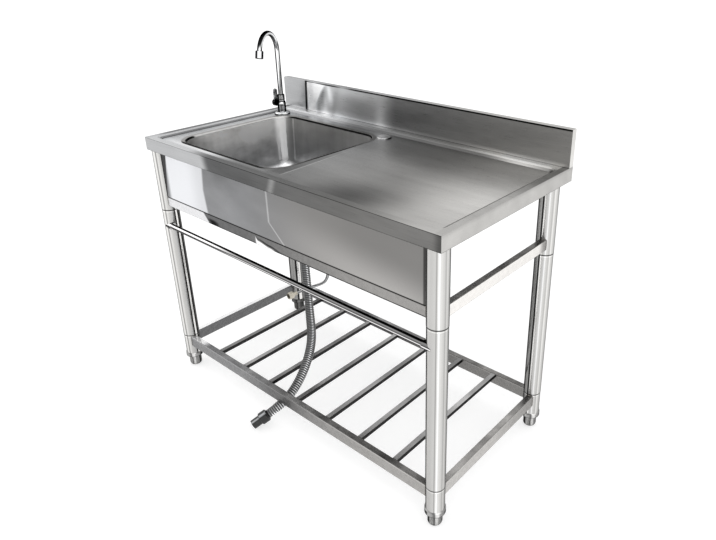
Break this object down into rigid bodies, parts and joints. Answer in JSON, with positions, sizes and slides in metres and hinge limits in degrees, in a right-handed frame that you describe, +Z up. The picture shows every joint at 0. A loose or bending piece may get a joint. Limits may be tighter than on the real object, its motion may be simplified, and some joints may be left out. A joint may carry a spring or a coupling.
{
  "type": "kitchen sink unit",
  "caption": "Free-standing stainless sink with a bowl, drainer and upstand on a tubular stand with slatted shelf, gooseneck tap and hoses.",
  "frame": {"origin": "on the floor, under the middle of the worktop", "axes": "+X along the worktop to the right as seen from the front, +Y towards the wall, +Z up"},
  "size_m": [1.1, 0.6108, 1.0707],
  "materials": {
    "worktop_steel": "satin stainless sheet",
    "bowl_steel": "satin drawn stainless",
    "panel_steel": "polished stainless sheet",
    "tube_steel": "polished stainless tube",
    "rail_steel": "polished stainless tube",
    "rod_steel": "polished stainless tube",
    "plug_steel": "polished collar",
    "foot_steel": "polished turned foot",
    "tap_chrome": "polished chrome plate",
    "cover_steel": "polished cap",
    "black_rubber": "moulded rubber",
    "outlet_steel": "polished stainless pressing",
    "grey_plastic": "moulded plastic",
    "hose_plastic": "ribbed flexible plastic",
    "cuff_plastic": "moulded plastic",
    "steel_braid": "woven steel wire",
    "brass": "turned brass"
  },
  "bodies": {
    "stand": {"worktop": "worktop_steel", "drainer_channels": "worktop_steel", "bowl": "bowl_steel", "front_panel": "panel_steel", "upper_leg_front_left": "tube_steel", "upper_leg_front_right": "tube_steel", "upper_leg_back_left": "tube_steel", "upper_leg_back_right": "tube_steel", "lower_leg_front_left": "tube_steel", "lower_leg_front_right": "tube_steel", "lower_leg_back_left": "tube_steel", "lower_leg_back_right": "tube_steel", "shelf_corner_front_left": "tube_steel", "shelf_corner_front_right": "tube_steel", "shelf_corner_back_left": "tube_steel", "shelf_corner_back_right": "tube_steel", "upper_spigots": "tube_steel", "lower_spigots": "tube_steel", "leg_end_plugs": "plug_steel", "towel_rod": "rod_steel", "upper_rail_front": "rail_steel", "upper_rail_back": "rail_steel", "upper_rail_left": "rail_steel", "upper_rail_right": "rail_steel", "shelf_rail_front": "rail_steel", "shelf_rail_back": "rail_steel", "shelf_rail_left": "rail_steel", "shelf_rail_right": "rail_steel", "shelf_slat_1": "rail_steel", "shelf_slat_2": "rail_steel", "shelf_slat_3": "rail_steel", "shelf_slat_4": "rail_steel", "shelf_slat_5": "rail_steel", "shelf_slat_6": "rail_steel", "shelf_slat_7": "rail_steel", "tap_gasket": "black_rubber", "tap_body": "tap_chrome", "tap_backnut": "brass", "spout_nut": "tap_chrome", "hole_cover": "cover_steel", "outlet_flange": "outlet_steel", "outlet_gasket": "black_rubber", "outlet_locknut": "grey_plastic", "outlet_body": "grey_plastic", "tail_nut": "grey_plastic", "drain_hose": "hose_plastic", "hose_cuff": "cuff_plastic", "supply_top_nut": "brass", "supply_hose": "steel_braid", "supply_end_nut": "brass"},
    "foot_front_left": {"foot_front_left": "foot_steel"},
    "foot_front_right": {"foot_front_right": "foot_steel"},
    "foot_back_left": {"foot_back_left": "foot_steel"},
    "foot_back_right": {"foot_back_right": "foot_steel"},
    "spout": {"spout": "tap_chrome", "aerator": "tap_chrome"},
    "tap_lever": {"tap_lever": "tap_chrome"},
    "strainer_basket": {"strainer_basket": "outlet_steel"}
  },
  "joints": [
    {"name": "spout_swivel", "type": "hinge", "parent": "stand", "child": "spout", "pos_m": [-0.489, 0.187, 0.85], "axis": [0, 0, 1], "continuous": true},
    {"name": "lever_turn", "type": "hinge", "parent": "stand", "child": "tap_lever", "pos_m": [-0.5185, 0.187, 0.827], "axis": [1, 0, 0], "range_deg": [0, 90]},
    {"name": "basket_lift", "type": "slide", "parent": "stand", "child": "strainer_basket", "axis": [0, 0, 1], "range_m": [0, 0.15]},
    {"name": "foot_screw_front_left", "type": "slide", "parent": "stand", "child": "foot_front_left", "axis": [0, 0, -1], "range_m": [0, 0.02]},
    {"name": "foot_screw_front_right", "type": "slide", "parent": "stand", "child": "foot_front_right", "axis": [0, 0, -1], "range_m": [0, 0.02]},
    {"name": "foot_screw_back_left", "type": "slide", "parent": "stand", "child": "foot_back_left", "axis": [0, 0, -1], "range_m": [0, 0.02]},
    {"name": "foot_screw_back_right", "type": "slide", "parent": "stand", "child": "foot_back_right", "axis": [0, 0, -1], "range_m": [0, 0.02]}
  ]
}
